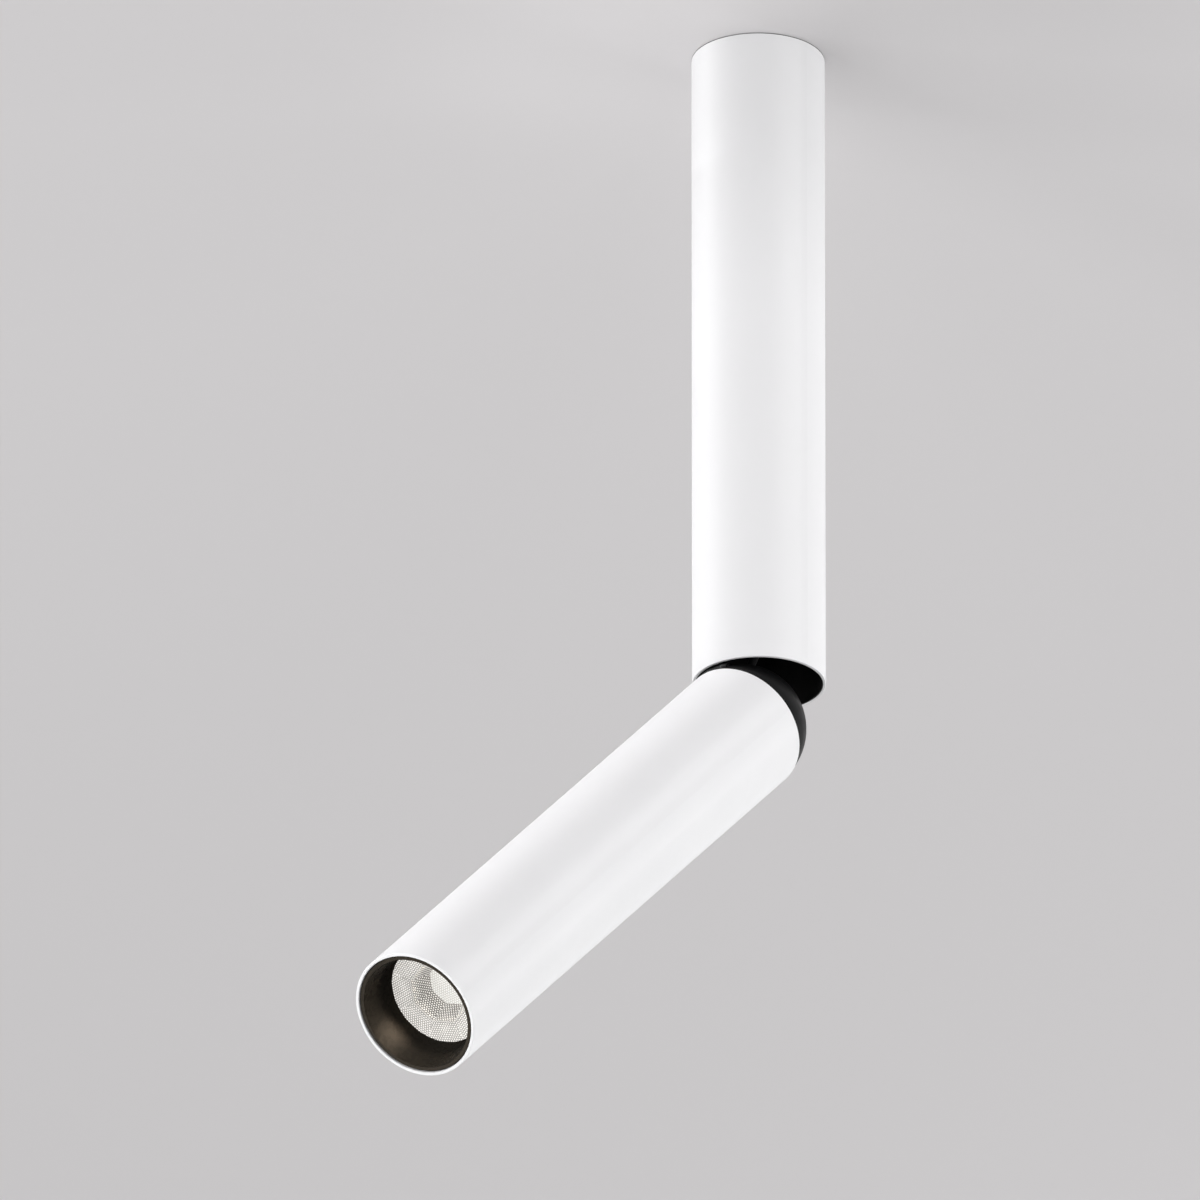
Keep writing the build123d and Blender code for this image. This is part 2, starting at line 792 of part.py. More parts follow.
def joint_lead():
    """The sheathed lead through the shaft and across the hinge to the dome."""
    radius = dome_r - dome_wall / 2
    outer = dome_r + 2 * grommet_lip_t + sheath_r
    entry = leaned_point(-radius * math.sin(entry_tilt), radius * math.cos(entry_tilt))
    above = leaned_point(-outer * math.sin(entry_tilt), outer * math.cos(entry_tilt))
    return tubed([
        (0, 0, lead_break),
        (0, 0, disc_z - shaft_head_t - sheath_r),
        above,
        entry,
    ], sheath_r)


# The lamp head, drawn hanging straight with its upper rim at z = 0

def joint_dome():
    """The black dome on the head, with the notch and ears of the hinge."""
    ball = Sphere(dome_r)
    dome = ball - Sphere(dome_r - dome_wall)
    dome &= disc(dome_r, dome_r, seam)
    dome += ring(seat_r, seat_r - spigot_wall, spigot_depth + seam, -spigot_depth)
    ear_root = block((-ear_end, ear_end), (pin_y, pin_y + 2 * knuckle_r),
                     (seam, pin_rise + knuckle_r))
    dome += ear_root & ball
    barrel = rod((-ear_end, pin_y, pin_rise), (ear_end, pin_y, pin_rise), knuckle_r)
    dome += barrel & disc(tube_r - face_gap, dome_r)
    notch_y = max(pin_y + knuckle_r, -arm_back + arm_t) + notch_gap
    dome -= block((-ear_start, ear_start), (-tube_d, notch_y), (sill, dome_r + 1))
    dome -= rod((-ear_end, pin_y, pin_rise), (ear_end, pin_y, pin_rise), pin_r + pin_gap / 2)
    dome -= Rot(math.degrees(entry_tilt), 0, 0) * disc(dome_hole_r, dome_r)
    return dome - set_screw_holes(head_screw_angles, -spigot_depth / 2)


def hinge_pin():
    """The steel pin that is fixed in the dome's ears."""
    end = math.sqrt((tube_r - face_gap) ** 2 - (pin_y - pin_r) ** 2)
    half = min(ear_end, end) - face_gap
    pin = rod((-half, pin_y, pin_rise), (half, pin_y, pin_rise), pin_r)
    return chamfer(pin.edges().filter_by(GeomType.CIRCLE), pin_r / 5)


def hinge_washers():
    """The two thin friction washers beside the arm."""
    washers = []
    for side in (-1, 1):
        start = (side * washer_start, pin_y, pin_rise)
        end = (side * (washer_start + hinge_washer_t), pin_y, pin_rise)
        washers.append(rod(start, end, knuckle_r) - rod(start, end, pin_r + pin_gap))
    return group(*washers)


def dome_grommet():
    """The rubber bush where the lead goes into the dome."""
    bore = sheath_r + pin_gap
    neck = dome_hole_r - pin_gap
    lip = dome_hole_r + grommet_lip
    inner_lip = lip - inner_lip_inset
    inside = dome_r - dome_wall - grommet_play
    bush = turned([
        (bore, inside - grommet_lip_t),
        (inner_lip, inside - grommet_lip_t),
        (inner_lip, inside),
        (neck, inside),
        (neck, dome_r),
        (lip, dome_r),
        (lip, dome_r + grommet_lip_t),
        (bore, dome_r + grommet_lip_t),
    ])
    return Rot(math.degrees(entry_tilt), 0, 0) * bush


def head_tube():
    """The white tube of the lamp head."""
    tube = ring(tube_r, bore_r, head_length, -head_length)
    tube = chamfer(tube.edges().filter_by(GeomType.CIRCLE), tube_wall / 6)
    tube -= set_screw_holes(head_screw_angles, -spigot_depth / 2)
    return tube - set_screw_holes(head_screw_angles, sink_z + sink_base_t / 2)


def head_lead():
    """The lead from the dome down to the heat sink."""
    start = dome_r - dome_wall / 2 - face_gap
    turn = dome_r / 3
    low = sink_z + sink_base_t + face_gap
    inner_y = -turn * math.sin(entry_tilt)
    fin_top = sink_z + sink_length
    return tubed([
        (0, -start * math.sin(entry_tilt), start * math.cos(entry_tilt)),
        (0, inner_y, turn * math.cos(entry_tilt)),
        (0, inner_y, fin_top * 0.4),
        (0, sink_lead_y, fin_top * 0.7),
        (0, sink_lead_y, low),
    ], sheath_r)


def led_leads():
    """The two thin cores that go through the heat sink's base to the light source."""
    low = sink_z - led_holder_t / 2
    cores = []
    for side in (-1, 1):
        core = disc(core_lead_r, sink_z + sink_base_t - low, low)
        cores.append(Pos(side * core_lead_x, sink_lead_y, 0) * core)
    return group(*cores)


def heat_sink():
    """The aluminium heat sink with fins round its core."""
    sink = disc(seat_r, sink_base_t, sink_z)
    fin_length = sink_length - sink_base_t
    fin_z = sink_z + sink_base_t
    fins = disc(sink_core_r, fin_length, fin_z)
    for number in range(fin_count):
        fin = block((0, bore_r - fin_gap), (-fin_t / 2, fin_t / 2), (fin_z, fin_z + fin_length))
        fins += Rot(0, 0, (number + 0.5) * 360 / fin_count) * fin
    sink += fins
    sink -= Pos(0, sink_lead_y, 0) * disc(core_lead_x + core_lead_r + pin_gap, sink_base_t, sink_z)
    for side in (-1, 1):
        sink -= Pos(side * holder_screw_x, 0, 0) * disc(screw_r + pin_gap, sink_base_t, sink_z)
    return sink - set_screw_holes(head_screw_angles, sink_z + sink_base_t / 2)


def thermal_pad():
    """The soft pad under the light source's board."""
    half = led_board_side / 2
    return block((-half, half), (-half, half), (sink_z - pad_t, sink_z))


def led_board():
    """The square board of the light source."""
    half = led_board_side / 2
    return block((-half, half), (-half, half), (sink_z - pad_t - led_board_t, sink_z - pad_t))


def led_emitter():
    """The round light-giving field on the board."""
    return disc(led_r, led_t, sink_z - pad_t - led_board_t - led_t)


def led_holder():
    """The plastic ring that presses the board on the heat sink."""
    holder = disc(led_holder_r, led_holder_t, sink_z - led_holder_t)
    half = led_board_side / 2 + fit_gap
    board_room = pad_t + led_board_t
    holder -= block((-half, half), (-half, half), (sink_z - board_room, sink_z))
    holder -= turned([
        (0, sink_z - led_holder_t),
        (led_window_r + 1, sink_z - led_holder_t),
        (led_window_r, sink_z - board_room),
        (0, sink_z - board_room),
    ])
    for side in (-1, 1):
        holder -= Pos(side * holder_screw_x, 0, 0) * disc(
            screw_r + pin_gap, led_holder_t, sink_z - led_holder_t)
    pocket = led_holder_t / 2 + face_gap
    return holder - Pos(0, sink_lead_y, 0) * disc(
        core_lead_x + core_lead_r + pin_gap, pocket, sink_z - pocket)


def holder_screws():
    """Two screws through the light source's holder into the heat sink."""
    screw = Rot(180, 0, 0) * machine_screw(led_holder_t + sink_base_t / 2)
    places = [-holder_screw_x, holder_screw_x]
    return group(*[Pos(x, 0, sink_z - led_holder_t) * screw for x in places])


def recess_outline(radius, z):
    """One eight-sided section of the lens's recess."""
    return Pos(0, 0, z) * RegularPolygon(radius, recess_sides)


def collimator_lens():
    """The clear lens, with the eight-sided recess in its face."""
    lens = turned([
        (0, lens_z),
        (lens_r, lens_z),
        (lens_r, gasket_z),
        (lens_cone_top_r, gasket_z),
        (lens_cone_end_r, optic_end),
        (0, optic_end),
    ])
    floor_z = lens_z + recess_depth
    lens -= loft([recess_outline(recess_r, lens_z), recess_outline(recess_floor_r, floor_z)])
    return lens - disc(lens_pocket_r, lens_pocket_depth, optic_end - lens_pocket_depth)


def lens_gasket():
    """The ring between the lens's flange and its holder."""
    return ring(lens_r, lens_r - gasket_width, gasket_t, gasket_z)


def lens_holder():
    """The plastic cup that the lens stands in."""
    top = gasket_z + gasket_t
    foot = optic_end + holder_foot_t
    slope = (lens_cone_top_r - lens_cone_end_r) / (optic_end - gasket_z)
    top_r = lens_cone_top_r - slope * gasket_t + fit_gap
    end_r = lens_cone_end_r + fit_gap
    return turned([
        (top_r, top),
        (lens_r, top),
        (end_r + holder_wall, optic_end),
        (holder_foot_r, optic_end),
        (holder_foot_r, foot),
        (led_window_r + 1, foot),
        (led_window_r + 1, optic_end),
        (end_r, optic_end),
    ])


def baffle():
    """The black anti-glare cone round the lens."""
    front = -head_length + baffle_recess
    rear = gasket_z + gasket_t + holder_wall
    body = turned([
        (seat_r - baffle_lip, front),
        (seat_r - baffle_edge, front),
        (seat_r, front + baffle_edge),
        (seat_r, rear),
        (lens_r + fit_gap, rear),
        (lens_r + fit_gap, lens_z),
        (lens_r - lens_ledge, lens_z),
    ])
    groove_z = -head_length + o_ring_depth
    groove_r = bore_r - 2 * o_ring_r
    return body - ring(seat_r, groove_r, 2 * (o_ring_r + pin_gap), groove_z - o_ring_r - pin_gap)


def baffle_o_ring():
    """The rubber ring that grips the head tube's bore."""
    middle_r = bore_r - o_ring_r - pin_gap / 2
    return Pos(0, 0, -head_length + o_ring_depth) * Torus(middle_r, o_ring_r - pin_gap / 2)


fixed_pieces = [
    ceiling_plate, cable_grommet, upper_tube, driver_bracket, bracket_screws, cord_clamp,
    cord_clamp_screws, terminal_block, terminal_screws, terminal_block_screw, earth_screw,
    earth_lead, mains_leads, driver_case, driver_cover, driver_board, driver_components,
    driver_screws, output_lead, connector_plug, connector_socket, socket_lead, swivel_flange,
    stop_pin,
]
turning_pieces = [
    swivel_disc, friction_washer, swivel_shaft, slide_washer, stop_washer, disc_spring,
    swivel_nut, hinge_arm, arm_screws, joint_lead,
]
head_pieces = [
    joint_dome, hinge_pin, hinge_washers, dome_grommet, head_tube, head_lead, led_leads,
    heat_sink, thermal_pad, led_board, led_emitter, led_holder, holder_screws,
    collimator_lens, lens_gasket, lens_holder, baffle, baffle_o_ring,
]

nodes = {make.__name__: make() for make in fixed_pieces + turning_pieces}
nodes["upper_tube_screws"] = group(
    set_screws(tube_screw_angles, tube_screw_z),
    set_screws(tube_screw_angles, flange_screw_z),
)
for make in head_pieces:
    nodes[make.__name__] = leaned(make())
nodes["head_tube_screws"] = leaned(group(
    set_screws(head_screw_angles, -spigot_depth / 2),
    set_screws(head_screw_angles, sink_z + sink_base_t / 2),
))

os.makedirs("parts", exist_ok=True)
for name, piece in nodes.items():
    export_step(piece, "parts/" + name + ".step")
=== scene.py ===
import math

import bpy
import numpy as np
from mathutils import Matrix, Vector


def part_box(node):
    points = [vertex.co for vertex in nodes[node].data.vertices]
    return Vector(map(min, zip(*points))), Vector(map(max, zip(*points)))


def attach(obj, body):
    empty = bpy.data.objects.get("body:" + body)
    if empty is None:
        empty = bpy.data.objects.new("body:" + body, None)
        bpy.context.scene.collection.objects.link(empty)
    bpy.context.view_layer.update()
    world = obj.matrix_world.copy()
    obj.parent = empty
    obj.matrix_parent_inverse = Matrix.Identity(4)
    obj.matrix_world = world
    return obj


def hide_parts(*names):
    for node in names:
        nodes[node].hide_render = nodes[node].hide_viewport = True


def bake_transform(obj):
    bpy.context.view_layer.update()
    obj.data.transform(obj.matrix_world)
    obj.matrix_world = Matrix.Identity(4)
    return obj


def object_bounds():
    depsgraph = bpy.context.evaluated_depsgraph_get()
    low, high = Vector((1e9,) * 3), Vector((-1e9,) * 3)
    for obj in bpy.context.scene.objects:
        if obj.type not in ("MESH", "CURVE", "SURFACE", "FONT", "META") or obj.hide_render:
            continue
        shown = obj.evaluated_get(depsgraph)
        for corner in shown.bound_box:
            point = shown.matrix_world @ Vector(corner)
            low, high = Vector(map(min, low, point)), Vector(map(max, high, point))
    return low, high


# The looks of a ceiling spotlight. Everything is in metres, in the part's own frame: the origin
# is on the ceiling, +Z is up, and the lamp head leans towards -Y.

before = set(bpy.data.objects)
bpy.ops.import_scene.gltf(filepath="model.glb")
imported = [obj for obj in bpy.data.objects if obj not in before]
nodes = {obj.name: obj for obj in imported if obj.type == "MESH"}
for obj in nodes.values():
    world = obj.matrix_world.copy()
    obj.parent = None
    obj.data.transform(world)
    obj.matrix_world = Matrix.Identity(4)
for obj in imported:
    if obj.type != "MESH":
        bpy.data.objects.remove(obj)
cad_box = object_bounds()

MM = 0.001

# The view
view_azimuth = 43.218        # degrees, as from_centre takes them
view_elevation = -25.228
view_target = Vector((-0.05165, -0.04904, -0.26832))
view_width = 0.538           # across the frame, at the target
camera_lens = 1600.0         # millimetres, and so is the sensor's width
sensor_width = 36.0
clip_near = 0.1
clip_far = 200.0

# The stage
stage_steps = 180            # points round each of the room's circles
stage_roughness = 0.9
stage_gloss = 0.1
ceiling_reach = 2.0
ceiling_colour = (0.668, 0.653, 0.660)
floor_reach = 14.0
floor_drop = 1.1             # below the part's lowest point
floor_colour = (0.78, 0.77, 0.775)
floor_glow = 0.15
world_grey = 0.60            # what is seen past the stage; it lights nothing
rim_shade_grey = 0.26        # of the painted shadow on the ceiling over the upper tube's rim
rim_shade_width = 1.4 * MM
rim_shade_drop = 0.05 * MM   # below the ceiling, so that the two faces don't coincide

# Softboxes: azimuth and elevation in degrees from the view's target, distance and size in
# metres, and power in watts
softboxes = [
    (-15, -12, 2.6, 1.7, 31),
    (10, -12, 2.6, 1.7, 16),
    (75, -12, 2.6, 1.7, 18),
    (145, -12, 2.6, 1.7, 35),
    (180, -12, 2.6, 1.6, 6),
    (200, -12, 2.6, 1.6, 15),
    (-100, -40, 2.6, 2.4, 32),
    (-60, 45, 2.6, 1.0, 34),
    (-100, 35, 2.6, 1.0, 2),
    (100, 20, 2.6, 1.0, 17),
    (110, -35, 1.3, 0.6, 3),
    (-45, -60, 1.3, 0.6, 4),
]

# The fill under the ceiling
fill_size = 0.14
fill_power = 0.007
fill_left = 0.08             # left of the tube's axis in the view
fill_drop = 0.06             # below the ceiling

# The upper tube
tube_shade = 0.85            # painted shade: its paint at the ceiling, against the rest
tube_shade_reach = 150 * MM
white_edge = 1.2 * MM        # how far its white paint reaches in over its rims

# The lamp head
rest_lean = math.radians(45.0)
rim_light_factor = 1.18             # painted light: the paint on the rim round the baffle, against the rest
rim_light_height = 0.3 * MM        # how far that painted light reaches up the head

# The lens
recess_sides = 8
recess_r = 14.6 * MM         # centre to corner
recess_floor_r = 10.8 * MM
recess_depth = 11.0 * MM
flange_t = 2.2 * MM
lens_cone_top_inset = 1.6 * MM   # the cone's wide end, in from the flange's edge
lens_cone_end_r = 13.0 * MM
pocket_r = 8.6 * MM          # the hollow at the back, over the light source
pocket_depth = 4.0 * MM
lens_crease = math.radians(50)   # an edge that turns more than this stays sharp
dot_pitch = 1.2 * MM
dot_reach = 0.56 * MM        # radius of one dot
dot_height = 0.24 * MM
edge_tone = 0.5              # where the dots fade out at an edge
lens_white = 0.5             # what the lens scatters of the light on it
lens_glow = 0.93             # and what it shows of the lamp's own light
RING, WALL, FLOOR = 0.0, 0.5, 1.0    # the zones, as the lens's finish reads them
# Painted shade between the dots and painted highlight on them, each for the ring, the wall and the floor;
# the wall's darker tones are painted shade too
valley_shade_tones = [(0.34, 0.325, 0.308), (0.10, 0.094, 0.086), (0.53, 0.52, 0.49)]
crest_highlight_tones = [(1.0, 0.97, 0.93), (0.88, 0.853, 0.81), (0.83, 0.82, 0.79)]
soft_edge = 0.45             # of the ring's and the wall's rows, where one tone runs into the other
steps_per_side = 72          # points along each side of the recess
ring_rows = 40               # rows of points, from the rim to the recess's middle
wall_rows = 46
floor_rows = 38

# The light in the lens's recess
glow_size = 9.0 * MM
glow_power = 0.018
glow_spread = math.radians(110)
glow_lift = 1.0 * MM         # above the recess's floor
glow_colour = (1.0, 0.90, 0.77)

# The lead over the hinge
lead_inside = 4.0 * MM       # past the middle of the dome's grommet
lead_swing = 0.4             # reach of the curve's handles, against the way between its ends
lead_steps = 24
lead_sides = 20


# ---------------------------------------------------------------- where the head's pieces are

head_turn = Matrix.Rotation(-rest_lean, 3, "X")
head_axis = head_turn @ Vector((0, 0, 1))
low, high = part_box("head_tube")
head_middle = (low + high) / 2


def about_head_axis(node):
    """How far a CAD node reaches along the head's axis, low and high, and its radius about it."""
    points = np.array([v.co for v in nodes[node].data.vertices]) - np.array(head_middle)
    along = points @ np.array(head_axis)
    across = points - np.outer(along, np.array(head_axis))
    return along.min(), along.max(), np.linalg.norm(across, axis=1).max()


def head_place(along):
    """The frame whose origin is on the head's axis and whose Z runs up that axis."""
    return Matrix.Translation(head_middle + head_axis * along) @ head_turn.to_4x4()


# ---------------------------------------------------------------- meshes

def lofted(name, rings, start, end, place=Matrix.Identity(4)):
    """A closed mesh through rings of equally many points, with a middle point at each end."""
    count = len(rings[0])
    points = np.vstack([[start], *rings, [end]])
    faces = []
    last = len(points) - 1
    for j in range(count):
        k = (j + 1) % count
        faces.append((0, 1 + k, 1 + j))
        faces.append((last, last - count + j, last - count + k))
    for i in range(len(rings) - 1):
        base = 1 + i * count
        for j in range(count):
            k = (j + 1) % count
            faces.append((base + j, base + k, base + count + k, base + count + j))
    mesh = bpy.data.meshes.new(name)
    mesh.from_pydata([tuple(p) for p in points], [], faces)
    mesh.transform(place)
    mesh.validate()
    piece = bpy.data.objects.new(name, mesh)
    bpy.context.scene.collection.objects.link(piece)
    mesh.shade_smooth()
    return piece


def grid_distance(x, y):
    """How far a point lies from the nearest dot of the lens's pattern of equal triangles."""
    row = dot_pitch * math.sqrt(3)
    nearest = None
    for shift in (0.0, 0.5):
        dx = x - (np.round(x / dot_pitch - shift) + shift) * dot_pitch
        dy = y - (np.round(y / row - shift) + shift) * row
        distance = np.hypot(dx, dy)
        nearest = distance if nearest is None else np.minimum(nearest, distance)
    return nearest


def dots(x, y, fade):
    """The lens's rounded dots, from 0 to 1, which fade to an even tone at the edges of a face; the tone sets
    the lens's painted highlight and painted shade.
    """
    dome = np.clip(1 - (grid_distance(x, y) / dot_reach) ** 2, 0, 1)
    shown = np.clip(fade, 0, 1)
    return dome * shown, dome * shown + edge_tone * (1 - shown)


def lens_side(number, share):
    """Points along one side of an eight-sided outline whose corners are 1 from the centre."""
    turn = 2 * math.pi / recess_sides
    start = np.array([math.cos(turn * number), math.sin(turn * number)])
    end = np.array([math.cos(turn * (number + 1)), math.sin(turn * (number + 1))])
    return start + np.outer(share, end - start)


def lens_outline():
    """Points round the recess's outline, each with its side's two directions and its fade."""
    share = np.arange(steps_per_side) / steps_per_side
    side = np.vstack([lens_side(number, share) for number in range(recess_sides)])
    half_turn = math.pi / recess_sides
    number = np.repeat(np.arange(recess_sides), steps_per_side)
    out = np.column_stack([np.cos(half_turn * (2 * number + 1)), np.sin(half_turn * (2 * number + 1))])
    along = np.column_stack([-out[:, 1], out[:, 0]])
    edge_fade = np.tile(np.minimum(share, 1 - share) * steps_per_side, recess_sides)
    return side, out, along, edge_fade


def circle_of(side):
    """The outline's points, moved straight outwards until each is 1 from the centre."""
    return side / np.linalg.norm(side, axis=1)[:, None]


def lens_back_rows(side, length, lens_r):
    """The pocket, the back, the cone and the flange: plain round rows, as points, tones and zone."""
    outline = [
        (pocket_r / 2, length - pocket_depth),
        (pocket_r, length - pocket_depth),
        (pocket_r, length),
        (lens_cone_end_r, length),
        (lens_r - lens_cone_top_inset, flange_t),
        (lens_r, flange_t),
        (lens_r, 0.0),
    ]
    count = len(side)
    return [
        (np.column_stack([circle_of(side) * radius, np.full(count, z)]), np.full(count, edge_tone), RING)
        for radius, z in outline
    ]


def lens_ring_rows(side, out, along, edge_fade, lens_r):
    """The flat ring round the recess, from its round rim to its eight-sided edge."""
    rim = circle_of(side) * lens_r
    made = []
    for row in range(1, ring_rows + 1):
        flat = rim + (side * recess_r - rim) * (row / ring_rows)
        fade = np.minimum(edge_fade, min(row, ring_rows - row))
        dome, tone = dots(np.sum(flat * along, axis=1), np.sum(flat * out, axis=1), fade)
        zone = WALL / 2 * max(0.0, 1 + (row / ring_rows - 1) / soft_edge)
        made.append((np.column_stack([flat, -dome * dot_height]), tone, zone))
    return made


def lens_wall_rows(side, out, along, edge_fade):
    """The recess's slanting wall, whose dots stand out square to it."""
    run_in = (recess_r - recess_floor_r) * math.cos(math.pi / recess_sides)
    slope = math.hypot(recess_depth, run_in)
    made = []
    for row in range(1, wall_rows + 1):
        part = row / wall_rows
        flat = side * (recess_r + (recess_floor_r - recess_r) * part)
        fade = np.minimum(edge_fade, min(row, wall_rows - row))
        dome, tone = dots(np.sum(flat * along, axis=1), np.full(len(side), slope * part), fade)
        pushed = flat - out * (dome * dot_height * recess_depth / slope)[:, None]
        depth = recess_depth * part - dome * dot_height * run_in / slope
        zone = WALL / 2 * (1 + min(1.0, part / soft_edge))
        made.append((np.column_stack([pushed, depth]), tone, zone))
    return made


def lens_floor_rows(side):
    """The recess's flat floor, up to the row round its middle."""
    made = []
    for row in range(1, floor_rows):
        flat = side * recess_floor_r * (1 - row / floor_rows)
        dome, tone = dots(flat[:, 0], flat[:, 1], row)
        made.append((np.column_stack([flat, recess_depth - dome * dot_height]), tone, FLOOR))
    return made


def lens_mesh():
    """The lens: a cone with a flange, and a dotted face with an eight-sided recess."""
    front, back, lens_r = about_head_axis("collimator_lens")
    length = back - front
    side, out, along, edge_fade = lens_outline()
    rows = lens_back_rows(side, length, lens_r)
    rows += lens_ring_rows(side, out, along, edge_fade, lens_r)
    rows += lens_wall_rows(side, out, along, edge_fade)
    rows += lens_floor_rows(side)
    rings, tones, zones = zip(*rows)
    start = (0.0, 0.0, length - pocket_depth)
    end = (0.0, 0.0, recess_depth - dot_height)
    piece = lofted("lens", rings, start, end, head_place(front))
    # The tone that sets the lens's painted highlight on its dots and painted shade between them
    mark_points(piece, "dot", np.concatenate([[edge_tone], *tones, [1.0]]))
    mark_points(piece, "zone", np.concatenate([[RING], np.repeat(zones, len(side)), [FLOOR]]))
    piece.data.set_sharp_from_angle(angle=lens_crease)
    return piece


def mark_points(piece, name, values):
    """Stores one number at each point of a mesh, for its finish to read."""
    attribute = piece.data.attributes.new(name, "FLOAT", "POINT")
    attribute.data.foreach_set("value", values.astype(np.float32))


def on_curve(start, first_handle, last_handle, end, t):
    """A point on a cubic curve with two handles, where t runs from 0 to 1."""
    return (
        (1 - t) ** 3 * start
        + 3 * (1 - t) ** 2 * t * first_handle
        + 3 * (1 - t) * t ** 2 * last_handle
        + t ** 3 * end
    )


def tube_rings(line, radius, sides):
    """Rings of points round a line that lies in a plane of equal X."""
    across = Vector((1, 0, 0))
    turn = [2 * math.pi * share / sides for share in range(sides)]
    rings = []
    for number, point in enumerate(line):
        before = line[max(number - 1, 0)]
        after = line[min(number + 1, len(line) - 1)]
        other = (after - before).normalized().cross(across).normalized()
        rings.append(np.array([point + (across * math.cos(a) + other * math.sin(a)) * radius for a in turn]))
    return rings


def hinge_lead():
    """The sheathed lead, from the turning joint's shaft over the hinge and into the dome."""
    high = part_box("joint_lead")[1]
    radius = high.x
    top = Vector((0, 0, high.z))
    shaft_end = Vector((0, 0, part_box("swivel_shaft")[0].z))
    low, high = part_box("dome_grommet")
    entry = (low + high) / 2
    dome_middle = head_middle + head_axis * about_head_axis("head_tube")[1]
    inward = (dome_middle - entry).normalized()
    reach = (entry - shaft_end).length * lead_swing
    first_handle = shaft_end + Vector((0, 0, -reach))
    last_handle = entry - inward * reach
    bend = [
        on_curve(shaft_end, first_handle, last_handle, entry, step / lead_steps)
        for step in range(1, lead_steps + 1)
    ]
    line = [top, shaft_end, *bend, entry + inward * lead_inside]
    rings = tube_rings(line, radius, lead_sides)
    piece = lofted("hinge_lead", rings, tuple(line[0]), tuple(line[-1]))
    return piece, shaft_end, entry


# ---------------------------------------------------------------- finishes

class Finish:
    """A procedural material, built up from a few kinds of texture."""

    def __init__(self, name):
        self.material = bpy.data.materials.new(name + "_finish")
        self.material.use_nodes = True
        self.tree = self.material.node_tree
        self.tree.nodes.clear()
        output = self.node("OutputMaterial")
        self.shader = self.node("BsdfPrincipled")
        self.tree.links.new(self.shader.outputs["BSDF"], output.inputs["Surface"])
        self.where = self.node("TexCoord").outputs["Object"]

    def node(self, kind, settings=None, **inputs):
        """A new node, its inputs set to values or joined to other nodes' outputs."""
        made = self.tree.nodes.new("ShaderNode" + kind)
        for key, value in (settings or {}).items():
            setattr(made, key, value)
        for key, value in inputs.items():
            self.put(made, key.replace("_", " "), value)
        return made

    def put(self, node, key, value):
        """Sets an input, or joins it to an output."""
        if isinstance(value, bpy.types.NodeSocket):
            self.tree.links.new(value, node.inputs[key])
        else:
            node.inputs[key].default_value = value

    def stretched(self, stretch, turn=(0, 0, 0)):
        """Object coordinates, turned and then stretched along each axis."""
        turned = self.node("Mapping", Vector=self.where, Rotation=turn)
        return self.node("Mapping", Vector=turned.outputs[0], Scale=stretch).outputs[0]

    def noise(self, size, detail=2.0, where=None):
        """Soft noise with features of about this size in metres."""
        vector = self.where if where is None else where
        return self.node("TexNoise", Vector=vector, Scale=1 / size, Detail=detail).outputs["Fac"]

    def cells(self, size, feature="F1", where=None):
        """Distance within cells of this size in metres."""
        vector = self.where if where is None else where
        return self.node("TexVoronoi", {"feature": feature}, Vector=vector,
                         Scale=1 / size).outputs["Distance"]

    def span(self, value, low, high, start=0.0, end=1.0):
        """Takes a texture's value from one range to another."""
        made = self.node("MapRange", {"interpolation_type": "SMOOTHSTEP"}, Value=value)
        for key, number in (("From Min", start), ("From Max", end), ("To Min", low), ("To Max", high)):
            self.put(made, key, number)
        return made.outputs["Result"]

    def blend(self, factor, first, second):
        """One colour or the other, by a factor from 0 to 1."""
        made = self.node("Mix", {"data_type": "RGBA"})
        self.put_at(made, 0, factor)
        self.put_at(made, 6, first)
        self.put_at(made, 7, second)
        return made.outputs[2]

    def put_at(self, node, place, value):
        """Sets or joins an input by its place, where names repeat."""
        if isinstance(value, bpy.types.NodeSocket):
            self.tree.links.new(value, node.inputs[place])
        elif isinstance(value, tuple):
            node.inputs[place].default_value = (*value, 1.0)
        else:
            node.inputs[place].default_value = value

    def scaled(self, value, factor):
        """A colour times a number."""
        return self.node("VectorMath", {"operation": "SCALE"}, Vector=value, Scale=factor).outputs[0]

    def both(self, first, second, operation="ADD"):
        """Two values joined by arithmetic."""
        made = self.node("Math", {"operation": operation})
        self.put_at(made, 0, first)
        self.put_at(made, 1, second)
        return made.outputs[0]

    def colour(self, value):
        """Joins or sets the surface's own colour."""
        self.put_at(self.shader, 0, value)

    def painted(self):
        """What the colour is joined to so far."""
        return self.shader.inputs[0].links[0].from_socket

    def roughness(self, value):
        """Joins or sets how matt the surface is."""
        self.put(self.shader, "Roughness", value)

    def relief(self, height, depth, strength=1.0, over=None):
        """Adds a bump of this depth in metres, over an earlier one if it is given."""
        made = self.node("Bump", Height=height, Distance=depth, Strength=strength)
        if over is not None:
            self.put(made, "Normal", over)
        self.put(self.shader, "Normal", made.outputs[0])
        return made.outputs[0]


def shade(colour, factor):
    """A lighter or darker version of a colour."""
    return tuple(channel * factor for channel in colour)


def powder_coat(name, colour, rough, peel=0.55 * MM, gloss=0.5):
    """Sprayed and baked paint: fine orange peel, with a soft drift in tone and gloss."""
    made = Finish(name)
    made.put(made.shader, "Specular IOR Level", gloss)
    drift = made.span(made.noise(70 * MM), 0, 1, 0.3, 0.7)
    fleck = made.span(made.cells(1.6 * MM), 0.0, 0.5, 0.0, 0.12)
    tone = made.both(drift, fleck, "SUBTRACT")
    made.colour(made.blend(tone, shade(colour, 0.975), colour))
    made.roughness(made.span(made.noise(6 * MM, 3), rough - 0.05, rough + 0.06, 0.3, 0.7))
    skin = made.relief(made.noise(peel, 2), 0.012 * MM, 0.5)
    made.relief(made.noise(peel * 7, 1), 0.02 * MM, 0.5, skin)
    return made


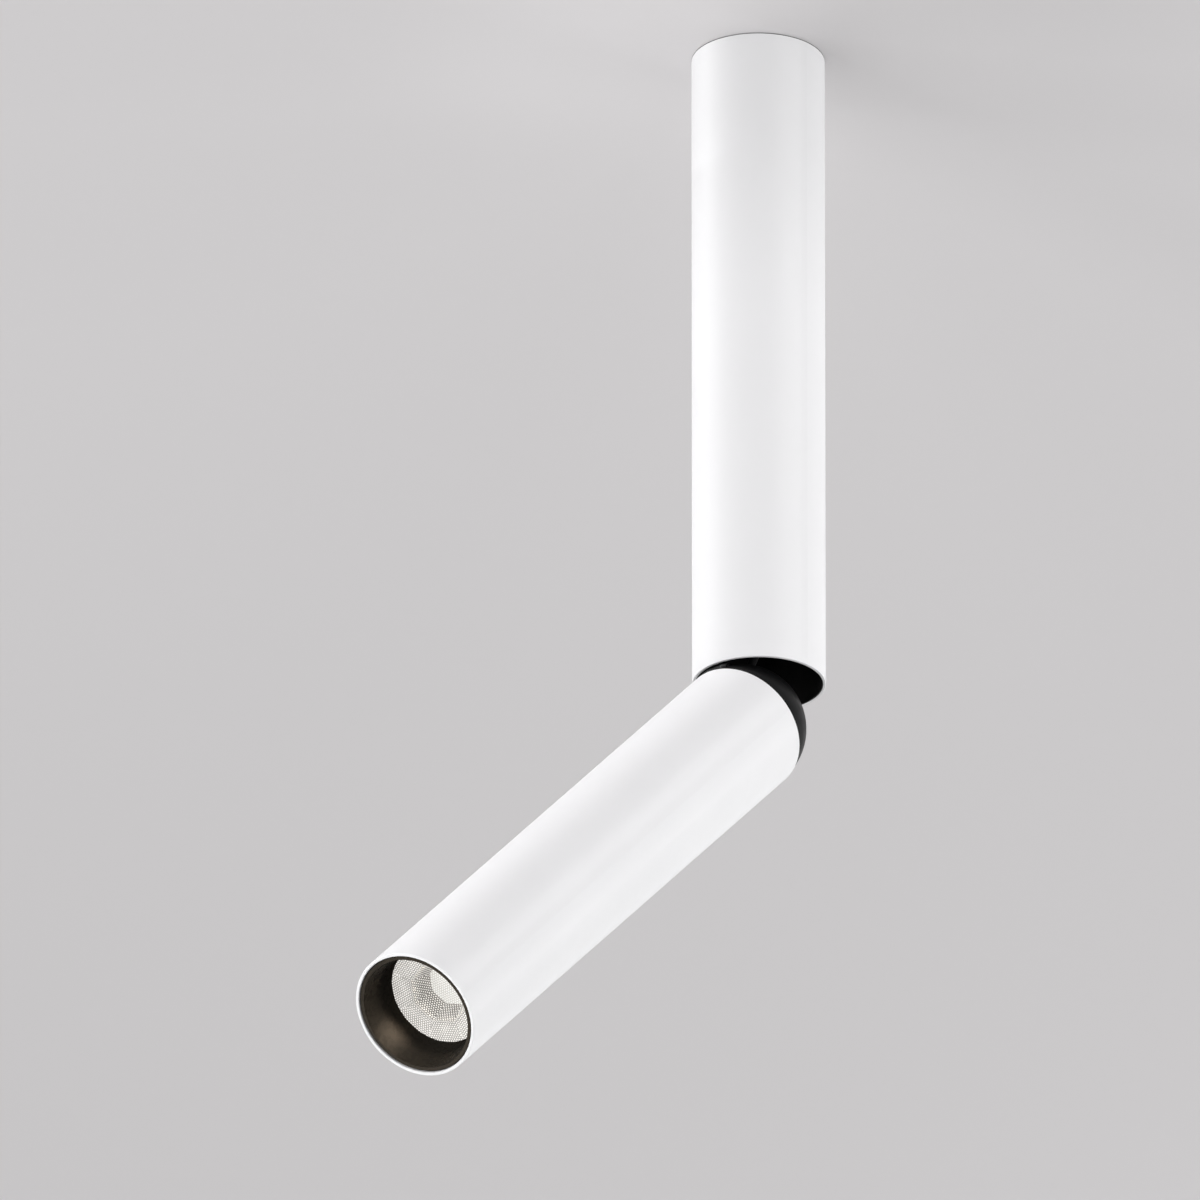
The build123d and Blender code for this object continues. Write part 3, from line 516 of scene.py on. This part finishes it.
def black_bore(made, bore_r, black):
    """Blackens what lies inside a radius about Z, as inside the upper tube's mouth."""
    apart = made.node("SeparateXYZ", Vector=made.where)
    flat = made.node("CombineXYZ", X=apart.outputs["X"], Y=apart.outputs["Y"])
    radius = made.node("VectorMath", {"operation": "LENGTH"}, Vector=flat.outputs[0])
    inside = made.both(radius.outputs["Value"], bore_r, "LESS_THAN")
    made.colour(made.blend(inside, made.painted(), black))


def paint_top_shade(made, reach, factor):
    """Darkens the paint softly towards the ceiling: a painted shade."""
    height = made.node("SeparateXYZ", Vector=made.where).outputs["Z"]
    painted = made.painted()
    made.colour(made.blend(made.span(height, 0, 1, -reach, 0), painted, made.scaled(painted, factor)))


def paint_rim_light(made, axis, end, factor):
    """Lightens the paint on a tube's rim, which lies below this height along the tube's axis: a painted
    light.
    """
    height = made.node("VectorMath", {"operation": "DOT_PRODUCT"}, Vector=made.where)
    height.inputs[1].default_value = axis
    rim_light_mask = made.both(height.outputs["Value"], end, "LESS_THAN")
    painted = made.painted()
    made.colour(made.blend(rim_light_mask, painted, made.scaled(painted, factor)))


def anodised(name, colour, warm, rough):
    """Anodised aluminium: very fine turning marks round the head's axis, and a warm sheen."""
    made = Finish(name)
    made.put(made.shader, "Specular IOR Level", 0.14)
    drift = made.span(made.noise(9 * MM, 3), 0, 1, 0.3, 0.7)
    made.colour(made.blend(drift, colour, warm))
    made.roughness(made.span(made.noise(2.5 * MM, 3), rough - 0.03, rough + 0.03, 0.3, 0.7))
    made.put(made.shader, "Specular Tint", (1.0, 0.78, 0.56, 1.0))
    turned = made.stretched((0.06, 0.06, 1.0), (math.pi / 4, 0, 0))
    marks = made.relief(made.noise(0.25 * MM, 2, turned), 0.003 * MM, 0.3)
    made.relief(made.noise(0.5 * MM, 2), 0.002 * MM, 0.3, marks)
    return made


def bare_metal(name, colour, rough, stretch=(1, 1, 1), turn=(0, 0, 0)):
    """Machined or drawn metal: fine tool marks along one way, smudges, and small pits."""
    made = Finish(name)
    made.put(made.shader, "Metallic", 1.0)
    marks = made.noise(0.35 * MM, 4, made.stretched(stretch, turn))
    smudge = made.span(made.noise(14 * MM, 4), 0, 1, 0.35, 0.7)
    made.colour(made.blend(smudge, shade(colour, 0.78), colour))
    streak = made.span(marks, rough - 0.08, rough + 0.10, 0.3, 0.7)
    made.roughness(made.both(streak, made.both(smudge, 0.08, "MULTIPLY")))
    grooves = made.relief(marks, 0.012 * MM, 0.6)
    pits = made.span(made.cells(0.9 * MM), 0, 1, 0.0, 0.16)
    made.relief(pits, 0.01 * MM, 0.35, grooves)
    return made


def plated_steel(name, colour, rough):
    """Zinc plated sheet, passivated: a matt bloom of crystals, with scuffs through it."""
    made = Finish(name)
    made.put(made.shader, "Metallic", 0.5)
    bloom = made.span(made.cells(5 * MM), 0, 1, 0.1, 0.8)
    cloud = made.span(made.noise(12 * MM, 4), 0, 1, 0.3, 0.75)
    made.colour(made.blend(made.both(bloom, cloud, "MULTIPLY"), shade(colour, 0.74), colour))
    scuffs = made.noise(0.5 * MM, 5, made.stretched((1.0, 0.12, 1.0), (0.0, 0.0, 0.5)))
    made.roughness(made.span(scuffs, rough - 0.1, rough + 0.14, 0.3, 0.75))
    rolled = made.relief(scuffs, 0.01 * MM, 0.5)
    made.relief(bloom, 0.006 * MM, 0.4, rolled)
    return made


def moulded(name, colour, rough, grain=0.35 * MM, depth=0.02 * MM):
    """Moulded plastic: a fine spark-eroded grain with flow marks and worn, glossier patches."""
    made = Finish(name)
    flow = made.span(made.noise(18 * MM, 3, made.stretched((1, 1, 0.35))), 0, 1, 0.3, 0.7)
    made.colour(made.blend(flow, shade(colour, 0.9), colour))
    made.roughness(made.span(made.noise(4 * MM, 4), rough - 0.08, rough + 0.08, 0.3, 0.7))
    pores = made.relief(made.cells(grain), depth, 0.5)
    made.relief(made.noise(grain * 4, 2), depth, 0.3, pores)
    return made


def soft_rubber(name, colour, rough):
    """Rubber: matt, slightly dusty, with a fine uneven skin."""
    made = moulded(name, colour, rough, 0.5 * MM, 0.03 * MM)
    dust = made.span(made.noise(1.5 * MM, 5), 0, 0.35, 0.55, 0.8)
    made.colour(made.blend(dust, made.painted(), (0.22, 0.21, 0.20)))
    return made


def sheath(name, colour, rough):
    """A flexible plastic sheath: smooth and slightly wavy along its length."""
    made = Finish(name)
    waves = made.noise(3 * MM, 2, made.stretched((1, 1, 0.5)))
    made.colour(made.blend(made.span(waves, 0, 1, 0.3, 0.7), shade(colour, 0.85), colour))
    made.roughness(made.span(made.noise(1.2 * MM, 3), rough - 0.06, rough + 0.08, 0.3, 0.7))
    fine = made.relief(made.noise(0.4 * MM, 2), 0.01 * MM, 0.4)
    made.relief(waves, 0.05 * MM, 0.5, fine)
    return made


def board(name, mask, copper):
    """A circuit board: solder mask over copper tracks, with the woven glass faintly showing."""
    made = Finish(name)
    tracks = made.cells(3.2 * MM, "DISTANCE_TO_EDGE", made.stretched((1.0, 1.0, 0.6)))
    on_track = made.span(tracks, 1, 0, 0.05, 0.09)
    weave = made.noise(0.7 * MM, 1, made.stretched((1.0, 1.0, 0.3)))
    ground = made.blend(made.span(weave, 0, 1, 0.35, 0.65), shade(mask, 0.8), mask)
    made.colour(made.blend(on_track, ground, copper))
    made.roughness(made.span(weave, 0.28, 0.42, 0.3, 0.7))
    raised = made.relief(on_track, 0.035 * MM, 0.7)
    made.relief(weave, 0.01 * MM, 0.4, raised)
    return made


def glowing_phosphor(name):
    """The light source's yellow coating, with its grain, and a low glow."""
    made = Finish(name)
    grain = made.span(made.cells(0.25 * MM), 0, 1, 0.0, 0.5)
    made.colour(made.blend(grain, (0.95, 0.66, 0.12), (0.80, 0.50, 0.06)))
    made.roughness(made.span(made.noise(0.8 * MM, 2), 0.5, 0.7, 0.3, 0.7))
    made.put(made.shader, "Emission Color", (1.0, 0.84, 0.60, 1.0))
    made.put(made.shader, "Emission Strength", 0.4)
    made.relief(grain, 0.02 * MM, 0.6)
    return made


def lens_acrylic(name):
    """Clear acrylic, whitened by its dots, with painted highlight on them, painted shade between them and on
    the recess's wall, and the lamp's warm light gathered in the recess.
    """
    made = Finish(name)
    dot = made.node("Attribute", {"attribute_name": "dot"}).outputs["Fac"]
    zone = made.node("Attribute", {"attribute_name": "zone"}).outputs["Fac"]
    cloud = made.span(made.noise(5 * MM, 2), 0.0, 0.12, 0.3, 0.7)
    top = made.both(made.span(dot, 0, 1, 0.05, 0.9), cloud, "SUBTRACT")
    on_wall = made.span(zone, 0, 1, RING, WALL)
    on_floor = made.span(zone, 0, 1, WALL, FLOOR)

    def by_zone(ring, wall, floor):
        return made.blend(on_floor, made.blend(on_wall, ring, wall), floor)

    # Painted highlight on the dots and painted shade between them and on the wall, shown in the lamp's glow
    # too
    tone = made.blend(top, by_zone(*valley_shade_tones), by_zone(*crest_highlight_tones))
    made.colour(made.scaled(tone, lens_white))
    made.roughness(made.span(made.noise(0.8 * MM, 2), 0.16, 0.26, 0.3, 0.7))
    made.put(made.shader, "IOR", 1.49)
    made.put(made.shader, "Emission Color", tone)
    made.put(made.shader, "Emission Strength", lens_glow)
    made.relief(made.noise(0.3 * MM, 2), 0.003 * MM, 0.3)
    return made


WHITE = (0.80, 0.80, 0.81)
BLACK = (0.003, 0.003, 0.0033)
BORE_BLACK = (0.004, 0.004, 0.004)

finishes = {
    "white_powder_coat": powder_coat("white_powder_coat", WHITE, 0.5),
    "black_powder_coat": powder_coat("black_powder_coat", BLACK, 0.40, gloss=0.10),
    "black_anodised": anodised("black_anodised", (0.019, 0.017, 0.014), (0.023, 0.020, 0.016), 0.28),
    "zinc_plated_steel": plated_steel("zinc_plated_steel", (0.62, 0.63, 0.64), 0.45),
    "machined_aluminium": bare_metal("machined_aluminium", (0.76, 0.77, 0.78), 0.32,
                                     (1.0, 0.08, 0.08), (math.pi / 4, 0, 0)),
    "bright_steel": bare_metal("bright_steel", (0.60, 0.60, 0.61), 0.24, (0.1, 0.1, 1.0)),
    "screw_steel": bare_metal("screw_steel", (0.55, 0.55, 0.55), 0.28),
    "black_screw_steel": moulded("black_screw_steel", (0.010, 0.010, 0.011), 0.36),
    "white_screw_steel": powder_coat("white_screw_steel", WHITE, 0.45, 0.3 * MM),
    "brass": bare_metal("brass", (0.72, 0.52, 0.22), 0.27),
    "white_plastic": moulded("white_plastic", (0.72, 0.72, 0.70), 0.45),
    "black_plastic": moulded("black_plastic", (0.010, 0.010, 0.011), 0.48),
    "light_source_plastic": moulded("light_source_plastic", (0.80, 0.79, 0.76), 0.40, 0.2 * MM),
    "nylon": moulded("nylon", (0.74, 0.71, 0.62), 0.38, 0.6 * MM),
    "rubber": soft_rubber("rubber", (0.018, 0.018, 0.018), 0.7),
    "lens_seal": soft_rubber("lens_seal", (0.30, 0.30, 0.30), 0.65),
    "thermal_pad": soft_rubber("thermal_pad", (0.45, 0.44, 0.48), 0.75),
    "black_sheath": sheath("black_sheath", (0.020, 0.020, 0.021), 0.42),
    "core_insulation": sheath("core_insulation", (0.22, 0.10, 0.05), 0.38),
    "earth_insulation": sheath("earth_insulation", (0.30, 0.42, 0.05), 0.38),
    "circuit_board": board("circuit_board", (0.02, 0.14, 0.05), (0.05, 0.24, 0.09)),
    "board_components": moulded("board_components", (0.06, 0.06, 0.07), 0.4),
    "led_board": board("led_board", (0.78, 0.78, 0.76), (0.70, 0.69, 0.64)),
    "led_phosphor": glowing_phosphor("led_phosphor"),
    "lens_acrylic": lens_acrylic("lens_acrylic"),
}


def dress(piece, finish):
    """Gives a whole piece one finish."""
    if not piece.material_slots:
        piece.data.materials.append(finish.material)
    for place in piece.material_slots:
        place.material = finish.material


for name, node in nodes.items():
    for place in node.material_slots:
        place.material = finishes[place.material.name.split(".")[0]].material

low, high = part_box("upper_tube")
tube_r = (high.x - low.x) / 2
upper_finish = powder_coat("white_outside_black_bore_painted_top_shade", WHITE, 0.5)
# Painted shade on the upper tube, darker towards the ceiling
paint_top_shade(upper_finish, tube_shade_reach, tube_shade)
black_bore(upper_finish, tube_r - white_edge, BORE_BLACK)
dress(nodes["upper_tube"], upper_finish)

head_finish = powder_coat("white_head_painted_rim_light", WHITE, 0.5)
head_end = head_middle.dot(head_axis) + about_head_axis("head_tube")[0]
# Painted light on the head's rim round the baffle
paint_rim_light(head_finish, head_axis, head_end + rim_light_height, rim_light_factor)
dress(nodes["head_tube"], head_finish)


# ---------------------------------------------------------------- pieces of the scene's own

lens = lens_mesh()
dress(lens, finishes["lens_acrylic"])
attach(lens, "lamp_head")
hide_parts("collimator_lens")
lens.visible_glossy = False  # the baffle's wall beside it stays dark

lead, lead_start, lead_end = hinge_lead()
dress(lead, finishes["black_sheath"])
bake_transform(lead)
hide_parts("joint_lead")


# ---------------------------------------------------------------- stage, lights and camera

def one_sided(name, colour, glow=0.0):
    """A matt surface that is clear when it is seen from behind."""
    material = bpy.data.materials.new(name)
    material.use_nodes = True
    tree = material.node_tree
    tree.nodes.clear()
    output = tree.nodes.new("ShaderNodeOutputMaterial")
    front = tree.nodes.new("ShaderNodeBsdfPrincipled")
    front.inputs["Base Color"].default_value = (*colour, 1.0)
    front.inputs["Roughness"].default_value = stage_roughness
    front.inputs["Specular IOR Level"].default_value = stage_gloss
    front.inputs["Emission Color"].default_value = (*colour, 1.0)
    front.inputs["Emission Strength"].default_value = glow
    clear = tree.nodes.new("ShaderNodeBsdfTransparent")
    side = tree.nodes.new("ShaderNodeNewGeometry")
    mix = tree.nodes.new("ShaderNodeMixShader")
    tree.links.new(side.outputs["Backfacing"], mix.inputs[0])
    tree.links.new(front.outputs[0], mix.inputs[1])
    tree.links.new(clear.outputs[0], mix.inputs[2])
    tree.links.new(mix.outputs[0], output.inputs["Surface"])
    return material


def circle(radius, z):
    """Points round a circle about the Z axis."""
    turn = [2 * math.pi * step / stage_steps for step in range(stage_steps)]
    return [(radius * math.cos(a), radius * math.sin(a), z) for a in turn]


def stage_piece(name, points, faces, material):
    """A surface that belongs to the room and not to the part."""
    mesh = bpy.data.meshes.new(name)
    mesh.from_pydata(points, [], faces)
    made = bpy.data.objects.new(name, mesh)
    bpy.context.scene.collection.objects.link(made)
    mesh.materials.append(material)
    return made


around = range(stage_steps)
ceiling_paint = one_sided("ceiling_paint", ceiling_colour)
ceiling = stage_piece("ceiling", circle(ceiling_reach, 0.0), [tuple(reversed(around))], ceiling_paint)
ceiling.visible_shadow = False

# A dark strip on the ceiling over the upper tube's rim: a painted shadow of the rim
strip_points = circle(tube_r, -rim_shade_drop) + circle(tube_r - rim_shade_width, -rim_shade_drop)
strip_faces = [
    (i, stage_steps + i, stage_steps + (i + 1) % stage_steps, (i + 1) % stage_steps)
    for i in around
]
stage_piece("rim_shade", strip_points, strip_faces, one_sided("rim_shade_paint", (rim_shade_grey,) * 3))

floor_paint = one_sided("floor_paint", floor_colour, floor_glow)
floor = stage_piece("floor", circle(floor_reach, cad_box[0].z - floor_drop), [tuple(around)], floor_paint)
floor.visible_diffuse = False
floor.visible_glossy = False
floor.visible_transmission = False
floor.visible_shadow = False

world = bpy.data.worlds.new("studio")
world.use_nodes = True
world.node_tree.nodes["Background"].inputs["Color"].default_value = (world_grey,) * 3 + (1.0,)
world.node_tree.nodes["Background"].inputs["Strength"].default_value = 1.0
bpy.context.scene.world = world
world.cycles_visibility.diffuse = False
world.cycles_visibility.glossy = False
world.cycles_visibility.transmission = False


def from_centre(azimuth, elevation):
    """Direction from the view's target to a viewpoint, both angles in degrees."""
    a, e = math.radians(azimuth), math.radians(elevation)
    return Vector((math.sin(a) * math.cos(e), -math.cos(a) * math.cos(e), math.sin(e)))


def area_light(name, shape, size, power, colour=(1.0, 1.0, 1.0)):
    """A flat light that isn't itself seen."""
    data = bpy.data.lights.new(name, "AREA")
    data.shape = shape
    data.size = size
    data.energy = power
    data.color = colour
    made = bpy.data.objects.new(name, data)
    bpy.context.scene.collection.objects.link(made)
    made.visible_camera = False
    return made


def softbox(name, azimuth, elevation, distance, size, power):
    """A square light that points at the object."""
    made = area_light(name, "SQUARE", size, power)
    toward = from_centre(azimuth, elevation)
    made.location = view_target + toward * distance
    made.rotation_mode = "QUATERNION"
    made.rotation_quaternion = (-toward).to_track_quat("-Z", "Y")


for number, softbox_values in enumerate(softboxes):
    softbox(f"light_{number}", *softbox_values)

# A small fill that shines up at the ceiling, left of the tube in the view
fill = area_light("ceiling_fill", "DISK", fill_size, fill_power)
fill.location = from_centre(view_azimuth - 90, 0) * fill_left + Vector((0, 0, -fill_drop))
fill.rotation_euler.x = math.pi

glow = area_light("recess_glow", "DISK", glow_size, glow_power, glow_colour)
glow.data.spread = glow_spread
glow.parent = lens
glow.matrix_world = head_place(about_head_axis("collimator_lens")[0] + recess_depth - glow_lift)

back = from_centre(view_azimuth, view_elevation)
camera_data = bpy.data.cameras.new("camera")
camera_data.lens = camera_lens
camera_data.sensor_width = sensor_width
camera_data.clip_start = clip_near
camera_data.clip_end = clip_far
camera = bpy.data.objects.new("camera", camera_data)
bpy.context.scene.collection.objects.link(camera)
camera.location = view_target + back * (view_width * camera_lens / sensor_width)
camera.rotation_mode = "QUATERNION"
camera.rotation_quaternion = (-back).to_track_quat("-Z", "Y")
bpy.context.scene.camera = camera

bpy.context.scene.view_settings.view_transform = "Standard"
